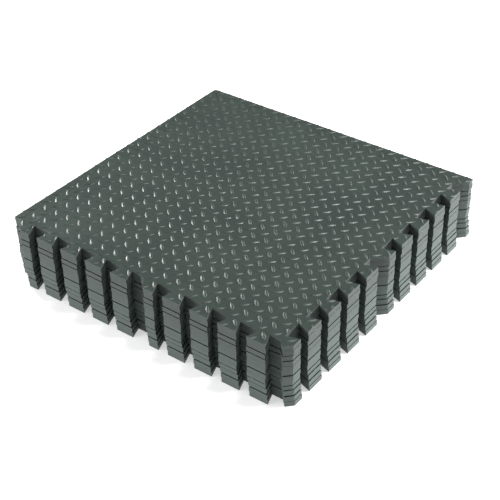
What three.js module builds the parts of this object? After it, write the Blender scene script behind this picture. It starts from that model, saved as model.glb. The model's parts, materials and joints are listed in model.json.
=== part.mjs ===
// A stack of interlocking foam floor tiles, with a straight border strip locked on to two
// sides of each tile. Millimetres, +Z up, the tiles' open toothed sides at the front (-Y)
// and the right (+X), the border strips at the back (+Y) and the left (-X).
//
// All four sides of a tile carry the same row of dovetail teeth, turned by a quarter turn
// each time, so any side locks into any side of another tile or into a border strip.

import * as THREE from "three";

// ---- Driving dimensions ----

const TILE_COUNT = 12;
const TILE_SIDE = 609.6; // one step of the laid floor, 24 in
const TEETH_PER_SIDE = 10;
const TOOTH_DEPTH = 25.4; // from the roots to the tips
const TOOTH_FLARE = 8.5; // a tooth's width at its tip, less its width halfway down
const TILE_THICKNESS = 10.6; // over the tread
const LAYER_GAP = 0.4; // air between two tiles that lie on each other
const LOOSE_GAP = 0.9; // extra air over the two tiles that have slipped
const LOCK_CLEARANCE = 0.3; // between a tile and the strips locked on to it
const BORDER_REACH = 27; // from the tile's grid line to a strip's straight outer edge
const CORNER_CUT = 4; // chamfer on the corner that the back strip fills

// How untidily the tiles were piled up: each one lies a little off the one at the top.
const SLIPPED_TILES = 2; // the lowest tiles, which have slid to the right together
const SLIP = 4.2;
const HALF_SLIP = 1.6; // the tile that lies on the slipped ones
const STRAY = 0.6; // the other tiles' greatest shift along X and Y

// ---- Values worked out from them ----

const HALF_SIDE = TILE_SIDE / 2;
const HALF_DEPTH = TOOTH_DEPTH / 2;
const HALF_FLARE = TOOTH_FLARE / 2;
const PITCH = TILE_SIDE / TEETH_PER_SIDE;
const FLANKS = 2 * TEETH_PER_SIDE;
const CENTRE = new THREE.Vector2(0, 0);

const FRONT_TURNS = 0;
const BACK_TURNS = 2;
const LEFT_TURNS = 3;

const TILE_COLOUR = 0x4d5652;
const BORDER_COLOUR = 0x474f4c;

// ---- Outlines ----

// One toothed side as points (along, outward) from its grid line, without its end corner.
// A slanted flank at the start and one halfway run the other way from the dovetail
// flanks, which is what lets four tiles meet at a corner with no gap.
function toothedSide() {
  const points = [new THREE.Vector2(0, 0), new THREE.Vector2(HALF_DEPTH, HALF_DEPTH)];
  for (let flank = 1; flank < FLANKS; flank++) {
    const along = (flank * PITCH) / 2;
    if (flank === TEETH_PER_SIDE) {
      points.push(new THREE.Vector2(along - HALF_DEPTH, -HALF_DEPTH));
      points.push(new THREE.Vector2(along + HALF_DEPTH, HALF_DEPTH));
    } else if (flank % 2) {
      points.push(new THREE.Vector2(along + HALF_FLARE, HALF_DEPTH));
      points.push(new THREE.Vector2(along - HALF_FLARE, -HALF_DEPTH));
    } else {
      points.push(new THREE.Vector2(along + HALF_FLARE, -HALF_DEPTH));
      points.push(new THREE.Vector2(along - HALF_FLARE, HALF_DEPTH));
    }
  }
  points.push(new THREE.Vector2(TILE_SIDE - HALF_DEPTH, -HALF_DEPTH));
  return points;
}

// A point (along, outward) of a side as a point of the tile, for the side that lies this
// many quarter turns anticlockwise from the front one.
function onSide(point, turns) {
  return new THREE.Vector2(point.x - HALF_SIDE, -HALF_SIDE - point.y).rotateAround(
    CENTRE,
    (turns * Math.PI) / 2,
  );
}

function tileOutline() {
  const outline = [];
  for (let turns = FRONT_TURNS; turns < 4; turns++)
    outline.push(...toothedSide().map((point) => onSide(point, turns)));
  return outline;
}

// Where two lines cross, each given by a point and a direction.
function crossing(point, direction, otherPoint, otherDirection) {
  const between = otherPoint.clone().sub(point);
  const share = between.cross(otherDirection) / direction.cross(otherDirection);
  return point.clone().addScaledVector(direction, share);
}

// An open path moved sideways to its left, with mitred corners.
function movedLeft(path, distance) {
  const edges = path.slice(1).map((end, i) => {
    const direction = end.clone().sub(path[i]).normalize();
    const left = new THREE.Vector2(-direction.y, direction.x).multiplyScalar(distance);
    return { start: path[i].clone().add(left), end: end.clone().add(left), direction };
  });
  const moved = [edges[0].start];
  for (let i = 1; i < edges.length; i++) {
    const [before, after] = [edges[i - 1], edges[i]];
    moved.push(crossing(before.start, before.direction, after.start, after.direction));
  }
  moved.push(edges[edges.length - 1].end);
  return moved;
}

// A strip's outline as points (along, outward). Its first end reaches the tips of the
// side before it. Its other end stops at the roots of the side after it, or goes on to
// fill the outer corner.
function borderOutline(fillsCorner) {
  const path = [
    new THREE.Vector2(-HALF_DEPTH, BORDER_REACH),
    new THREE.Vector2(-HALF_DEPTH, HALF_DEPTH),
    ...toothedSide(),
  ];
  if (fillsCorner) {
    path.push(new THREE.Vector2(TILE_SIDE + HALF_DEPTH, HALF_DEPTH));
    path.push(new THREE.Vector2(TILE_SIDE + BORDER_REACH, HALF_DEPTH));
    path.push(new THREE.Vector2(TILE_SIDE + BORDER_REACH, BORDER_REACH - CORNER_CUT));
  } else {
    path.push(new THREE.Vector2(TILE_SIDE, 0));
    path.push(new THREE.Vector2(TILE_SIDE - HALF_DEPTH, HALF_DEPTH));
    path.push(new THREE.Vector2(TILE_SIDE - HALF_DEPTH, BORDER_REACH));
  }
  const outline = movedLeft(path, LOCK_CLEARANCE);
  if (fillsCorner)
    outline.push(new THREE.Vector2(TILE_SIDE + BORDER_REACH - CORNER_CUT, BORDER_REACH));
  return outline;
}

// ---- Pieces ----

function slab(name, outline, colour) {
  const geometry = new THREE.ExtrudeGeometry(new THREE.Shape(outline), {
    depth: TILE_THICKNESS,
    bevelEnabled: false,
  });
  const material = new THREE.MeshStandardMaterial({
    color: colour,
    roughness: 0.62,
    metalness: 0,
  });
  const mesh = new THREE.Mesh(geometry, material);
  mesh.name = name;
  return mesh;
}

function borderStrip(name, turns, fillsCorner) {
  const outline = borderOutline(fillsCorner).map((point) => onSide(point, turns));
  return slab(name, outline, BORDER_COLOUR);
}

// How far a layer has strayed from the top one, which lies true.
function strayOf(layer) {
  if (layer === TILE_COUNT) return { x: 0, y: 0 };
  let slip = 0;
  if (layer <= SLIPPED_TILES) slip = SLIP;
  else if (layer === SLIPPED_TILES + 1) slip = HALF_SLIP;
  return {
    x: slip + STRAY * Math.sin(2.4 * layer),
    y: STRAY * Math.cos(1.7 * layer),
  };
}

// A tile with its two strips, at its own height in the stack.
function layerOf(layer) {
  const number = String(layer).padStart(2, "0");
  const group = new THREE.Group();
  group.add(slab(`tile_${number}`, tileOutline(), TILE_COLOUR));
  group.add(borderStrip(`back_border_${number}`, BACK_TURNS, true));
  group.add(borderStrip(`left_border_${number}`, LEFT_TURNS, false));

  const stray = strayOf(layer);
  const lift = layer > SLIPPED_TILES ? LOOSE_GAP : 0;
  const height = (layer - 1) * (TILE_THICKNESS + LAYER_GAP) + lift;
  group.position.set(stray.x, stray.y, height);
  return group;
}

// ---- The stack, centred over the origin and standing on Z = 0 ----

const stack = new THREE.Group();
for (let layer = 1; layer <= TILE_COUNT; layer++) stack.add(layerOf(layer));
stack.updateMatrixWorld(true);
const box = new THREE.Box3().setFromObject(stack, true);
const middle = box.getCenter(new THREE.Vector3());
stack.position.set(-middle.x, -middle.y, -box.min.z);

const part = new THREE.Group();
part.add(stack);

export default part;
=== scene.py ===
"""The looks of a pile of interlocking foam floor tiles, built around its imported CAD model.

A moulded sheet of foam with raised bars on it is die-cut into tiles and border strips. Each
piece here starts from its own CAD slab, which gives its outline and its place, and gets the
cut edges, the slight sag and the tread that the plain slab leaves out.
"""

import json
import math

import bmesh
import bpy
from bpy.props import FloatProperty, FloatVectorProperty, PointerProperty
from mathutils import Matrix, Vector

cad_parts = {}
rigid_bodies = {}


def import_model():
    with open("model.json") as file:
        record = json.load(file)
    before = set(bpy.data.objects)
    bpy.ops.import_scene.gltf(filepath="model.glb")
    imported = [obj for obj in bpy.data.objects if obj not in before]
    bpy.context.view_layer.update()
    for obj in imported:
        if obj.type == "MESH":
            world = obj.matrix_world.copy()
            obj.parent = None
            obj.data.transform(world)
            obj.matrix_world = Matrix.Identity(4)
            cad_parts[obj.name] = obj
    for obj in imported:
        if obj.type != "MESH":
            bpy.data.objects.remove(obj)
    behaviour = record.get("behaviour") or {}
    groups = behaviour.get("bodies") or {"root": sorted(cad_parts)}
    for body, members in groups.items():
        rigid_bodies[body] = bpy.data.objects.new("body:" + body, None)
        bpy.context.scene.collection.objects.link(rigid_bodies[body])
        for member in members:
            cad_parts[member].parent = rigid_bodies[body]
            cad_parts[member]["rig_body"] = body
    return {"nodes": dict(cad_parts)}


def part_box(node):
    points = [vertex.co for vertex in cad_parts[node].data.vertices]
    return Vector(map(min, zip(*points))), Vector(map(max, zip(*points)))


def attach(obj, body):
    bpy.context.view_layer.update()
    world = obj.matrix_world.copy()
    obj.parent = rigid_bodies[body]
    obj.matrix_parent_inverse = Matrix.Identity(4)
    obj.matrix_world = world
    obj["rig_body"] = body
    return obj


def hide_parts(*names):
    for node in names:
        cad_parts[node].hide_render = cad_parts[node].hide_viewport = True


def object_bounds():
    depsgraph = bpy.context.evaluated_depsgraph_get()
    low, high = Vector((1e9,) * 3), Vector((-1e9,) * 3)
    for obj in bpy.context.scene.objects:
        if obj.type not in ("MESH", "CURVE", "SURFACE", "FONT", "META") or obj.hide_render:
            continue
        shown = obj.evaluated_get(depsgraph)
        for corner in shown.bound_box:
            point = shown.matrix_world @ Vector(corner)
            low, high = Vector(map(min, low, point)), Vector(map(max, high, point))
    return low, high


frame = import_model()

bl_info = {
    "name": "Foam tile pile",
    "version": (1, 0, 0),
    "blender": (4, 5, 0),
    "location": "3D View > Sidebar > Foam tiles",
    "description": "Builds a pile of interlocking foam floor tiles around its CAD frame",
    "category": "Object",
}

CAD_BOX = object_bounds()

# ---- What the frame says ----

LAYERS = 12
TOP_TILE = f"tile_{LAYERS:02d}"
TILE_LOW, TILE_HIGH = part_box(TOP_TILE)
PILE_HEIGHT = CAD_BOX[1].z

# How many millimetres below its CAD top each layer's skin lies, bottom layer first. Tiles
# that were pressed less lie looser and leave a darker line.
LOOSENESS = [0.15, 0.40, 0.00, 1.90, 0.00, 1.10, 0.00, 0.80, 1.20, 1.30, 0.00, 0.00]
MM = 0.001
PRESSED_BAR = 0.00025  # what is left of a bar's height under the tiles above it
PRESSED_SKIN = 0.00005  # how far the pressed foam bulges past its CAD top
UNDERSIDE_BULGE = 0.0001  # and past its CAD underside

MERGE_DISTANCE = 1e-6
FLAT_ANGLE = math.radians(0.5)  # faces that meet at less than this are one face
SHARP_ANGLE = math.radians(18)  # and at more than this they meet in a crisp edge

# ---- Settings that a user would change ----


class TreadSettings(bpy.types.PropertyGroup):
    pitch: FloatVectorProperty(
        name="Pitch",
        description="Step along X and along Y of the lattice that like bars stand on",
        size=2,
        default=(0.02975, 0.03185),
        unit="LENGTH",
    )
    lean: FloatProperty(
        name="Lean",
        description="How far along X each row of bars lies from the row in front of it",
        default=-0.00116,
        unit="LENGTH",
    )
    bar_length: FloatProperty(
        name="Bar length",
        description="Length of a bar from point to point",
        default=0.0255,
        unit="LENGTH",
    )
    bar_width: FloatProperty(
        name="Bar width",
        description="Width of a bar where it meets the skin, at its middle",
        default=0.0070,
        unit="LENGTH",
    )
    bar_height: FloatProperty(
        name="Bar height",
        description="How far a bar stands above the skin at its middle",
        default=0.0014,
        unit="LENGTH",
    )
    shift: FloatVectorProperty(
        name="Shift",
        description="Where the nearest bar's middle lies from the middle of the tile",
        size=2,
        default=(-0.0166, 0.0192),
        unit="LENGTH",
    )


class CutSettings(bpy.types.PropertyGroup):
    edge_round: FloatProperty(
        name="Edge round",
        description="How far the die-cut edges are rounded over",
        default=0.0002,
        unit="LENGTH",
    )
    wave: FloatProperty(
        name="Wave",
        description="How far a tile bows up or down across its width",
        default=0.0004,
        unit="LENGTH",
    )


class FoamSettings(bpy.types.PropertyGroup):
    tile_colour: FloatVectorProperty(
        name="Tile foam",
        description="Colour of the tiles' moulded skin",
        subtype="COLOR",
        size=3,
        min=0,
        max=1,
        default=(0.023, 0.038, 0.031),
    )
    border_colour: FloatVectorProperty(
        name="Border foam",
        description="Colour of the border strips' moulded skin",
        subtype="COLOR",
        size=3,
        min=0,
        max=1,
        default=(0.022, 0.036, 0.029),
    )
    cut_colour: FloatVectorProperty(
        name="Cut foam",
        description="Colour of the foam's inside, which the die-cut sides show",
        subtype="COLOR",
        size=3,
        min=0,
        max=1,
        default=(0.034, 0.044, 0.040),
    )


class StageSettings(bpy.types.PropertyGroup):
    camera_place: FloatVectorProperty(
        name="Camera place",
        description="Where the camera stands",
        subtype="XYZ",
        size=3,
        default=(1.1624, -1.5205, 1.4037),
        unit="LENGTH",
    )
    azimuth: FloatProperty(
        name="Azimuth",
        description="Where the camera looks from, 0 being the front and 90 the right side",
        default=math.radians(37.16),
        subtype="ANGLE",
    )
    elevation: FloatProperty(
        name="Elevation",
        description="How far the camera looks down",
        default=math.radians(36.0),
        subtype="ANGLE",
    )
    roll: FloatProperty(
        name="Roll",
        description="How far the camera leans over",
        default=math.radians(-0.99),
        subtype="ANGLE",
    )
    lens: FloatProperty(
        name="Lens",
        description="Focal length on a sensor 36 mm wide",
        default=85.2,
        min=1,
    )


class PileSettings(bpy.types.PropertyGroup):
    tread: PointerProperty(type=TreadSettings)
    cut: PointerProperty(type=CutSettings)
    foam: PointerProperty(type=FoamSettings)
    stage: PointerProperty(type=StageSettings)


# ---- Mesh helpers ----


def new_object(name, mesh):
    """An object at the world's origin, linked into the scene."""
    thing = bpy.data.objects.new(name, mesh)
    bpy.context.scene.collection.objects.link(thing)
    return thing


def mesh_of(shape, name):
    """The bmesh as a mesh; the bmesh is freed."""
    mesh = bpy.data.meshes.new(name)
    shape.to_mesh(mesh)
    shape.free()
    return mesh


def with_modifiers(thing, name):
    """A new mesh that holds the object's modifiers' result."""
    graph = bpy.context.evaluated_depsgraph_get()
    mesh = bpy.data.meshes.new_from_object(thing.evaluated_get(graph))
    mesh.name = name
    return mesh


def scrap(*things):
    """Throws away helper objects and their meshes."""
    for thing in things:
        mesh = thing.data
        bpy.data.objects.remove(thing)
        bpy.data.meshes.remove(mesh)


def array(thing, name, step, count):
    rows = thing.modifiers.new(name, "ARRAY")
    rows.use_relative_offset = False
    rows.use_constant_offset = True
    rows.constant_offset_displace = step
    rows.count = count


# ---- The tread: raised bars, pointed at both ends ----

BAR_STEPS = 6  # faces along a bar
BAR_SIDES = 4  # faces across it: a flank and half the crown, twice
BAR_ANGLE = math.radians(45)  # how far either kind of bar is turned from the X axis
CROWN_SHARE = 0.35  # of a bar's width, the part that is its crown
CROWN_EDGE = 0.8  # of a bar's height, where the crown meets the flanks
WIDTH_POWER = 0.8  # how bluntly a bar's width runs out to its points
HEIGHT_POWER = 0.45  # and how bluntly its height does
BAR_ROOT = 0.0003  # how deep the flanks run on into the skin
SPARE_BARS = 2  # columns and rows laid past each side of a piece before it is cut
EDGE_SHARE = 0.8  # of the rounded edge, the part that the tread keeps clear of
BLOCK_BELOW = 2  # the cutting block's depth under the skin, in roots of a bar
BLOCK_ABOVE = 3  # and its height over the skin, in heights of a bar


def bar(tread, middle, angle):
    """One bar as a closed bmesh, its skin level at Z = 0."""
    shape = bmesh.new()
    bmesh.ops.create_grid(shape, x_segments=BAR_STEPS, y_segments=BAR_SIDES, size=1)
    half_width = tread.bar_width / 2
    shoulder = tread.bar_height * CROWN_EDGE
    flank_run = half_width * (1 - CROWN_SHARE) * BAR_ROOT / shoulder
    # How far out and how high its ridge, its shoulders and its roots lie at the bar's middle.
    section = (
        (0, tread.bar_height),
        (half_width * CROWN_SHARE, shoulder),
        (half_width + flank_run, -BAR_ROOT),
    )
    for corner in shape.verts:
        along, across = corner.co.x, corner.co.y
        swell = (1 - along * along) ** WIDTH_POWER
        out, height = section[round(abs(across) * BAR_SIDES / 2)]
        y = out * swell * math.copysign(1, across)
        z = (height + BAR_ROOT) * swell**HEIGHT_POWER - BAR_ROOT
        corner.co = (along * tread.bar_length / 2, y, z)
    bmesh.ops.remove_doubles(shape, verts=shape.verts, dist=MERGE_DISTANCE)
    bmesh.ops.holes_fill(shape, edges=shape.edges)
    bmesh.ops.recalc_face_normals(shape, faces=shape.faces)
    turned = Matrix.Translation(middle) @ Matrix.Rotation(angle, 4, "Z")
    bmesh.ops.transform(shape, matrix=turned, verts=shape.verts)
    return shape


def bar_pair(tread):
    """The two bars of one lattice cell, at right angles to each other."""
    middle = Vector(((tread.pitch[0] + tread.lean) / 2, tread.pitch[1] / 2, 0))
    pair = bar(tread, Vector((0, 0, 0)), -BAR_ANGLE)
    other = mesh_of(bar(tread, middle, BAR_ANGLE), "other_bar")
    pair.from_mesh(other)
    bpy.data.meshes.remove(other)
    return mesh_of(pair, "bar_pair")


def outline_block(node, inset, below, above):
    """The piece's outline, drawn in by a little, as a block around its skin's level."""
    block = merged_slab(node)
    top = max(block.faces, key=lambda face: face.calc_center_median().z)
    bmesh.ops.inset_region(block, faces=[top], thickness=inset, use_even_offset=True)
    others = [face for face in block.faces if face is not top]
    bmesh.ops.delete(block, geom=others, context="FACES")
    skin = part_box(node)[1].z
    for corner in block.verts:
        corner.co.z = skin - below
    raised = bmesh.ops.extrude_face_region(block, geom=block.faces[:], use_keep_orig=True)
    lifted = [item for item in raised["geom"] if isinstance(item, bmesh.types.BMVert)]
    bmesh.ops.translate(block, vec=(0, 0, below + above), verts=lifted)
    bmesh.ops.recalc_face_normals(block, faces=block.faces)
    return mesh_of(block, "outline_block")


def tread_on(node, settings):
    """The bars that the die leaves on this piece, as one mesh with its skin at the CAD top."""
    tread = settings.tread
    low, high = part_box(node)
    centre = (TILE_LOW + TILE_HIGH) / 2
    steps = []
    counts = []
    for axis in range(2):
        origin = centre[axis] + tread.shift[axis]
        steps.append(math.floor((low[axis] - origin) / tread.pitch[axis]) - SPARE_BARS)
        span = (high[axis] - low[axis]) / tread.pitch[axis]
        counts.append(math.ceil(span) + 2 * SPARE_BARS + 1)
    along_x = Vector((tread.pitch[0], 0, 0))
    along_y = Vector((tread.lean, tread.pitch[1], 0))
    first = Vector((centre.x + tread.shift[0], centre.y + tread.shift[1], high.z))
    first += steps[0] * along_x + steps[1] * along_y
    pair = bar_pair(tread)
    pair.transform(Matrix.Translation(first))
    bars = new_object("bars", pair)
    array(bars, "along x", along_x, counts[0])
    array(bars, "along y", along_y, counts[1])
    inset = settings.cut.edge_round * EDGE_SHARE
    below = BLOCK_BELOW * BAR_ROOT
    above = BLOCK_ABOVE * tread.bar_height
    block = new_object("block", outline_block(node, inset, below, above))
    die = bars.modifiers.new("die", "BOOLEAN")
    die.operation = "INTERSECT"
    die.solver = "EXACT"
    die.object = block
    cut = with_modifiers(bars, node + "_tread")
    scrap(bars, block)
    return cut


# ---- The foam body under the tread ----

# The bow is a slow wave and a fast one, in radians a metre, and each one's start.
SLOW_ALONG, SLOW_ALONG_START = 9.0, 2.1
SLOW_ACROSS, SLOW_ACROSS_START = 7.5, -1.3
FAST_ALONG, FAST_ACROSS, FAST_START = 31.0, -23.0, 4.7
EDGE_SEGMENTS = 2  # faces across a rounded cut edge


def merged_slab(node):
    """A copy of a CAD slab with its triangles merged into whole faces."""
    slab = bmesh.new()
    slab.from_mesh(frame["nodes"][node].data)
    bmesh.ops.remove_doubles(slab, verts=slab.verts, dist=MERGE_DISTANCE)
    bmesh.ops.dissolve_limit(
        slab, angle_limit=FLAT_ANGLE, verts=slab.verts, edges=slab.edges
    )
    return slab


def foam_body(node, drop, bulge, settings):
    """The CAD slab in small faces, its skin lowered by drop, its underside lowered by bulge
    and its cut edges rounded.
    """
    body = merged_slab(node)
    low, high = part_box(node)
    middle = (low.z + high.z) / 2
    for corner in body.verts:
        corner.co.z -= drop if corner.co.z > middle else bulge
    bmesh.ops.bevel(
        body,
        geom=body.edges[:],
        offset=settings.cut.edge_round,
        offset_type="OFFSET",
        affect="EDGES",
        segments=EDGE_SEGMENTS,
        profile=0.5,
        material=-1,
        clamp_overlap=True,
    )
    for axis, across in ((0, Vector((1, 0, 0))), (1, Vector((0, 1, 0)))):
        step = settings.tread.pitch[axis]
        count = int((high[axis] - low[axis]) / step)
        for line in range(1, count + 1):
            place = low.copy()
            place[axis] += line * step
            everything = body.verts[:] + body.edges[:] + body.faces[:]
            bmesh.ops.bisect_plane(body, geom=everything, plane_co=place, plane_no=across)
    return body


def bow(shape, settings):
    """Bows the piece a little, the more the higher it lies, so that the lines between the
    tiles aren't ruler straight.
    """
    reach = settings.cut.wave / 2
    for corner in shape.verts:
        x, y = corner.co.x, corner.co.y
        slow = math.sin(SLOW_ALONG * x + SLOW_ALONG_START)
        slow *= math.cos(SLOW_ACROSS * y + SLOW_ACROSS_START)
        fast = math.sin(FAST_ALONG * x + FAST_ACROSS * y + FAST_START)
        share = corner.co.z / PILE_HEIGHT
        corner.co.z += reach * (slow + fast) * share


def foam_piece(node, layer, cut_tread, turns, finish, settings):
    """One tile or strip in place of its CAD node, its tread given these quarter turns."""
    rise = settings.tread.bar_height
    skin_drop = rise
    if layer < LAYERS:
        rise = PRESSED_BAR
        skin_drop = LOOSENESS[layer - 1] * MM - PRESSED_SKIN
    bulge = UNDERSIDE_BULGE if layer > 1 else 0
    shape = foam_body(node, skin_drop, bulge, settings)
    low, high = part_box(node)
    tread = cut_tread["mesh"].copy()
    home_low, home_high = cut_tread["box"]
    home = (home_low + home_high) / 2
    here = (low + high) / 2
    here.z = high.z - skin_drop
    home.z = home_high.z
    turn = Matrix.Rotation(turns * math.pi / 2, 4, "Z")
    press = Matrix.Diagonal((1, 1, rise / settings.tread.bar_height, 1))
    tread.transform(Matrix.Translation(here) @ turn @ press @ Matrix.Translation(-home))
    shape.from_mesh(tread)
    bpy.data.meshes.remove(tread)
    bow(shape, settings)
    mesh = mesh_of(shape, "foam_" + node)
    mesh.shade_smooth()
    mesh.set_sharp_from_angle(angle=SHARP_ANGLE)
    mesh.materials.clear()
    mesh.materials.append(finish)
    piece = new_object("foam_" + node, mesh)
    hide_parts(node)
    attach(piece, frame["nodes"][node]["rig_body"])


def foam_pieces(kind, finish, settings, turning):
    """The same piece in every layer; with turning, each layer down lies a quarter turn on."""
    home = f"{kind}_{LAYERS:02d}"
    cut_tread = {"mesh": tread_on(home, settings), "box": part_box(home)}
    for layer in range(1, LAYERS + 1):
        turns = (LAYERS - layer) % 4 if turning else 0
        node = f"{kind}_{layer:02d}"
        foam_piece(node, layer, cut_tread, turns, finish, settings)
    bpy.data.meshes.remove(cut_tread["mesh"])


# ---- Node helpers ----


def feed(tree, socket, value):
    """Gives an input its value, or a link if the value is another node's output."""
    if isinstance(value, bpy.types.NodeSocket):
        tree.links.new(value, socket)
    else:
        socket.default_value = value


def add_node(tree, kind, inputs, **properties):
    """A new node with its properties set and its inputs fed."""
    made = tree.nodes.new(kind)
    for name, value in properties.items():
        setattr(made, name, value)
    for name, value in inputs.items():
        feed(tree, made.inputs[name], value)
    return made


def object_place(tree):
    """Where a point lies in its object's own frame."""
    return tree.nodes.new("ShaderNodeTexCoord").outputs["Object"]


def new_group(name, inputs, outputs):
    """An empty node group with these named sockets; gives its tree, input and output."""
    tree = bpy.data.node_groups.new(name, "ShaderNodeTree")
    for label, value in inputs.items():
        socket = tree.interface.new_socket(
            name=label, in_out="INPUT", socket_type="NodeSocketFloat"
        )
        socket.default_value = value
    for label in outputs:
        tree.interface.new_socket(
            name=label, in_out="OUTPUT", socket_type="NodeSocketFloat"
        )
    return tree, tree.nodes.new("NodeGroupInput"), tree.nodes.new("NodeGroupOutput")


def place_group(tree, name, **inputs):
    """One of the shared groups, placed in a material with its own values."""
    group = bpy.data.node_groups[name]
    return add_node(tree, "ShaderNodeGroup", inputs, node_tree=group).outputs


def math_node(tree, operation, first, second=0.0):
    made = add_node(tree, "ShaderNodeMath", {}, operation=operation)
    for socket, value in zip(made.inputs, (first, second)):
        feed(tree, socket, value)
    return made.outputs["Value"]


# A Mix node's two inputs and its output, which go by number as their names repeat.
MIX_SOCKETS = {"FLOAT": (2, 3, 0), "RGBA": (6, 7, 2)}


def mixed(tree, factor, first, second, kind="RGBA"):
    """The first colour or value where the factor is 0, and the second where it is 1."""
    made = add_node(tree, "ShaderNodeMix", {"Factor": factor}, data_type=kind)
    first_socket, second_socket, result = MIX_SOCKETS[kind]
    feed(tree, made.inputs[first_socket], first)
    feed(tree, made.inputs[second_socket], second)
    return made.outputs[result]


def noise(tree, place, scale, detail=2.0, roughness=0.5):
    made = add_node(
        tree,
        "ShaderNodeTexNoise",
        {"Vector": place, "Scale": scale, "Detail": detail, "Roughness": roughness},
    )
    return made.outputs["Fac"]


def ranged(tree, value, low, high, to_low=0.0, to_high=1.0):
    """The value eased from to_low, where it is low, to to_high, where it is high."""
    made = add_node(
        tree,
        "ShaderNodeMapRange",
        {
            "Value": value,
            "From Min": low,
            "From Max": high,
            "To Min": to_low,
            "To Max": to_high,
        },
        interpolation_type="SMOOTHSTEP",
    )
    return made.outputs["Result"]


# ---- Effects that the foams share ----

RUB_ANGLE = 0.5  # which way the rubbed marks run, in radians
RUB_STRETCH = (14, 60, 30)  # marks to a metre along them, across them and in height
LUMP_SIZE = 0.22  # the grain's lumps to a metre, as a share of its pebbles
PEBBLE_HEIGHT = 0.6  # against the lumps' height
CELLS = 1500.0  # burst cells to a metre
CELL_DEPTH = 0.5  # against the drag lines' depth
DRAG_STRETCH = (420, 420, 28)  # drag lines to a metre, and along their length
BOUNCE_START_LEVEL, BOUNCE_FULL_LEVEL = 0.12, 0.03  # heights between which painted floor-bounce light turns the cut sides paler


def make_facing_group():
    """Which faces were cut by the die, 1 there and 0 on the moulded skin."""
    tree, _, out = new_group("facing", {}, ["Cut side"])
    normal = tree.nodes.new("ShaderNodeTexCoord").outputs["Normal"]
    up = add_node(tree, "ShaderNodeSeparateXYZ", {"Vector": normal}).outputs["Z"]
    flat = math_node(tree, "ABSOLUTE", up)
    tree.links.new(ranged(tree, flat, low=0.5, high=0.2), out.inputs["Cut side"])


def make_mottle_group():
    """Slow changes of shade over the skin, and faint rubbed marks, each from 0 to 1."""
    tree, given, out = new_group("mottle", {"Size": 6.0}, ["Cloud", "Rubbed"])
    place = object_place(tree)
    cloud = noise(tree, place, given.outputs["Size"], detail=4.0, roughness=0.55)
    tree.links.new(ranged(tree, cloud, low=0.3, high=0.7), out.inputs["Cloud"])
    stretched = add_node(
        tree,
        "ShaderNodeMapping",
        {"Vector": place, "Rotation": (0, 0, RUB_ANGLE), "Scale": RUB_STRETCH},
    ).outputs["Vector"]
    marks = noise(tree, stretched, scale=1.0, detail=5.0, roughness=0.65)
    tree.links.new(ranged(tree, marks, low=0.56, high=0.78), out.inputs["Rubbed"])


def make_grain_group():
    """The skin's fine leathery grain, as a height from 0 to 1."""
    tree, given, out = new_group("grain", {"Size": 900.0}, ["Height"])
    place = object_place(tree)
    pebbles = add_node(
        tree,
        "ShaderNodeTexVoronoi",
        {"Vector": place, "Scale": given.outputs["Size"], "Smoothness": 0.6},
        feature="SMOOTH_F1",
    ).outputs["Distance"]
    lump_size = math_node(tree, "MULTIPLY", given.outputs["Size"], LUMP_SIZE)
    lumps = noise(tree, place, lump_size, detail=3.0)
    pebbles = math_node(tree, "MULTIPLY", pebbles, PEBBLE_HEIGHT)
    tree.links.new(math_node(tree, "ADD", pebbles, lumps), out.inputs["Height"])


def make_cut_group():
    """Foam cut by a die: burst cells and shallow drag lines up the side, with painted shade in
    their hollows, and painted floor-bounce light that makes the foot paler.
    """
    tree, _, out = new_group("cut foam", {}, ["Height", "Hollow shade", "Painted bounce"])
    place = object_place(tree)
    cells = add_node(
        tree,
        "ShaderNodeTexVoronoi",
        {"Vector": place, "Scale": CELLS, "Randomness": 1.0},
        feature="F1",
    ).outputs["Distance"]
    burst = ranged(tree, cells, low=0.1, high=0.55)
    tall = add_node(
        tree, "ShaderNodeMapping", {"Vector": place, "Scale": DRAG_STRETCH}
    ).outputs["Vector"]
    drag = noise(tree, tall, scale=1.0, detail=3.0, roughness=0.6)
    height = math_node(tree, "ADD", math_node(tree, "MULTIPLY", burst, CELL_DEPTH), drag)
    tree.links.new(height, out.inputs["Height"])
    # painted shade: darker where the cut's relief is low, in the burst cells and drag lines
    tree.links.new(ranged(tree, height, low=0.4, high=1.1), out.inputs["Hollow shade"])
    level = add_node(tree, "ShaderNodeSeparateXYZ", {"Vector": place}).outputs["Z"]
    # painted floor-bounce light: 0 high up, rising to 1 near the floor
    tree.links.new(ranged(tree, level, BOUNCE_START_LEVEL, BOUNCE_FULL_LEVEL), out.inputs["Painted bounce"])


def make_shared_effects():
    for make in (make_facing_group, make_mottle_group, make_grain_group, make_cut_group):
        make()


# ---- Materials ----

# How much lighter or darker than its own colour the foam is, from place to place; on the cut
# sides this includes painted shade in their hollows and painted floor-bounce light near the
# floor.
SKIN_SHADES = (0.88, 1.12)
RUBBED_SHADE = 1.55
RUBBED_WARMTH = 0.06
RUBBED_STRENGTH = 0.35
# painted shade of the cut sides, from their hollows to their heights
SIDE_HOLLOW_SHADES = (0.75, 1.2)
# painted floor-bounce light on the lower part of the cut sides
BOUNCE_LIGHT_SHADE = 1.8

SKIN_ROUGHNESS = (0.40, 0.30)  # in the grain's hollows and on its heights
CLOUD_ROUGHNESS = 0.06  # what the mottle adds to it
CUT_ROUGHNESS = 0.72
FLOOR_SHADES = (0.90, 0.93)
FLOOR_GLOW = 0.5


def tinted(colour, factor, warm=0.0):
    """A colour made lighter or darker, with a little red added for a warmer cast."""
    red, green, blue = (channel * factor for channel in colour)
    return (red * (1 + warm), green, blue, 1)


def new_material(name):
    """A new material; gives its node tree and its shader as well."""
    material = bpy.data.materials.new(name)
    material.use_nodes = True
    tree = material.node_tree
    return material, tree, tree.nodes["Principled BSDF"]


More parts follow.
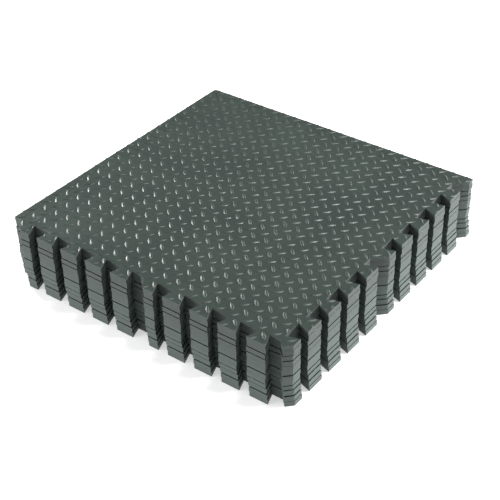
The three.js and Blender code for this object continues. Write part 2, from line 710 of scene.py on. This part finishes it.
def foam(name, colour, cut_colour):
    """Closed-cell foam: a satin moulded skin, duller and a little paler where it is cut, with
    painted shade in the cut's hollows and painted floor-bounce light on its lower part.
    """
    material, tree, shader = new_material(name)
    cut_side = place_group(tree, "facing")["Cut side"]
    mottle = place_group(tree, "mottle", Size=7.0)
    grain = place_group(tree, "grain", Size=700.0)
    cut = place_group(tree, "cut foam")

    darker, lighter = (tinted(colour, shade) for shade in SKIN_SHADES)
    skin = mixed(tree, mottle["Cloud"], darker, lighter)
    rubbed = math_node(tree, "MULTIPLY", mottle["Rubbed"], RUBBED_STRENGTH)
    skin = mixed(tree, rubbed, skin, tinted(colour, RUBBED_SHADE, RUBBED_WARMTH))
    darker, lighter = (tinted(cut_colour, shade) for shade in SIDE_HOLLOW_SHADES)
    # painted shade in the hollows of the cut
    side = mixed(tree, cut["Hollow shade"], darker, lighter)
    # painted floor-bounce light: the cut sides turn paler towards the floor
    side = mixed(tree, cut["Painted bounce"], side, tinted(cut_colour, BOUNCE_LIGHT_SHADE))
    tree.links.new(mixed(tree, cut_side, skin, side), shader.inputs["Base Color"])

    dull, glossy = SKIN_ROUGHNESS
    roughness = ranged(tree, grain["Height"], low=0.3, high=1.1, to_low=dull, to_high=glossy)
    cloud = math_node(tree, "MULTIPLY", mottle["Cloud"], CLOUD_ROUGHNESS)
    roughness = math_node(tree, "ADD", roughness, cloud)
    roughness = mixed(tree, cut_side, roughness, CUT_ROUGHNESS, "FLOAT")
    tree.links.new(roughness, shader.inputs["Roughness"])
    shader.inputs["Specular IOR Level"].default_value = 0.5

    height = mixed(tree, cut_side, grain["Height"], cut["Height"], "FLOAT")
    relief = {"Height": height, "Strength": 0.35, "Distance": 0.0002}
    bump = add_node(tree, "ShaderNodeBump", relief)
    tree.links.new(bump.outputs["Normal"], shader.inputs["Normal"])
    return material


def floor_finish():
    """A plain pale light table, very slightly uneven in shade."""
    material, tree, shader = new_material("pale_floor")
    cloud = noise(tree, object_place(tree), scale=1.5)
    darker, lighter = (tinted((1, 1, 1), shade) for shade in FLOOR_SHADES)
    pale = mixed(tree, cloud, darker, lighter)
    tree.links.new(pale, shader.inputs["Base Color"])
    tree.links.new(pale, shader.inputs["Emission Color"])
    shader.inputs["Emission Strength"].default_value = FLOOR_GLOW
    shader.inputs["Roughness"].default_value = 0.9
    shader.inputs["Specular IOR Level"].default_value = 0.1
    return material


# ---- Stage ----

SENSOR_WIDTH = 36  # millimetres
FLOOR_RADIUS = 30
FLOOR_SIDES = 64
WORLD_STRENGTH = 0.50

# Each softbox's place, its width and height, and its power in watts.
SOFTBOXES = {
    "left_softbox": ((-1.7, 0.2, 0.8), (0.3, 0.5), 16),
    "back_softbox": ((0.1, 3.0, 1.1), (0.7, 0.6), 12),
    "overhead_softbox": ((0.65, 0.55, 3.0), (0.6, 0.6), 55),
    "front_left_softbox": ((-3.0, -4.4, 0.8), (2.6, 1.4), 220),
    "right_back_softbox": ((2.7, 2.3, 0.5), (1.8, 0.9), 260),
}


def make_camera(stage):
    azimuth, elevation = stage.azimuth, stage.elevation
    back = Vector(
        (
            math.sin(azimuth) * math.cos(elevation),
            -math.cos(azimuth) * math.cos(elevation),
            math.sin(elevation),
        )
    )
    level = Vector((math.cos(azimuth), math.sin(azimuth), 0))
    right = Matrix.Rotation(stage.roll, 3, back) @ level
    up = back.cross(right)
    camera = bpy.data.objects.new("camera", bpy.data.cameras.new("camera"))
    camera.data.sensor_width = SENSOR_WIDTH
    camera.data.lens = stage.lens
    turn = Matrix((right, up, back)).transposed().to_4x4()
    camera.matrix_world = Matrix.Translation(stage.camera_place) @ turn
    bpy.context.scene.collection.objects.link(camera)
    bpy.context.scene.camera = camera


def softbox(name, place, size, power):
    """A rectangular light aimed at the middle of the pile."""
    lamp = bpy.data.lights.new(name, "AREA")
    lamp.shape = "RECTANGLE"
    lamp.size, lamp.size_y = size
    lamp.energy = power
    light = bpy.data.objects.new(name, lamp)
    light.location = place
    towards = Vector((0, 0, PILE_HEIGHT / 2)) - Vector(place)
    light.rotation_mode = "QUATERNION"
    light.rotation_quaternion = towards.to_track_quat("-Z", "Y")
    bpy.context.scene.collection.objects.link(light)


def make_lights():
    for name, (place, size, power) in SOFTBOXES.items():
        softbox(name, place, size, power)
    world = bpy.data.worlds.new("studio")
    world.use_nodes = True
    background = world.node_tree.nodes["Background"]
    background.inputs["Color"].default_value = (1, 1, 1, 1)
    background.inputs["Strength"].default_value = WORLD_STRENGTH
    bpy.context.scene.world = world


def make_floor():
    ground = bmesh.new()
    bmesh.ops.create_circle(
        ground, cap_ends=True, segments=FLOOR_SIDES, radius=FLOOR_RADIUS
    )
    floor = new_object("floor", mesh_of(ground, "floor"))
    floor.data.materials.append(floor_finish())


# ---- Operators ----


class FOAM_OT_tiles(bpy.types.Operator):
    """Make the square tiles, one to a layer"""

    bl_idname = "foam_pile.add_tiles"
    bl_label = "Tiles"

    def execute(self, context):
        settings = context.scene.foam_pile
        finish = foam("tile_foam", settings.foam.tile_colour, settings.foam.cut_colour)
        foam_pieces("tile", finish, settings, turning=True)
        return {"FINISHED"}


class FOAM_OT_borders(bpy.types.Operator):
    """Make the border strips along the back and the left of every layer"""

    bl_idname = "foam_pile.add_borders"
    bl_label = "Border strips"

    def execute(self, context):
        settings = context.scene.foam_pile
        finish = foam(
            "border_foam", settings.foam.border_colour, settings.foam.cut_colour
        )
        foam_pieces("back_border", finish, settings, turning=False)
        foam_pieces("left_border", finish, settings, turning=False)
        return {"FINISHED"}


class FOAM_OT_stage(bpy.types.Operator):
    """Set up the floor, the lights and the camera"""

    bl_idname = "foam_pile.set_stage"
    bl_label = "Studio"

    def execute(self, context):
        make_camera(context.scene.foam_pile.stage)
        make_lights()
        make_floor()
        context.scene.view_settings.view_transform = "Standard"
        return {"FINISHED"}


class FOAM_PT_panel(bpy.types.Panel):
    """Lists the steps that build the pile, with their settings"""

    bl_idname = "FOAM_PT_panel"
    bl_label = "Foam tile pile"
    bl_space_type = "VIEW_3D"
    bl_region_type = "UI"
    bl_category = "Foam tiles"

    def draw(self, context):
        settings = context.scene.foam_pile
        for part in (settings.tread, settings.cut, settings.foam, settings.stage):
            for name in part.bl_rna.properties.keys():
                if name not in ("rna_type", "name"):
                    self.layout.prop(part, name)
        for operator in (FOAM_OT_tiles, FOAM_OT_borders, FOAM_OT_stage):
            self.layout.operator(operator.bl_idname)


CLASSES = (
    TreadSettings,
    CutSettings,
    FoamSettings,
    StageSettings,
    PileSettings,
    FOAM_OT_tiles,
    FOAM_OT_borders,
    FOAM_OT_stage,
    FOAM_PT_panel,
)


def register():
    for each in CLASSES:
        bpy.utils.register_class(each)
    bpy.types.Scene.foam_pile = PointerProperty(type=PileSettings)


def unregister():
    del bpy.types.Scene.foam_pile
    for each in reversed(CLASSES):
        bpy.utils.unregister_class(each)


def main():
    register()
    make_shared_effects()
    bpy.ops.foam_pile.set_stage()
    bpy.ops.foam_pile.add_tiles()
    bpy.ops.foam_pile.add_borders()


if __name__ == "__main__":
    main()
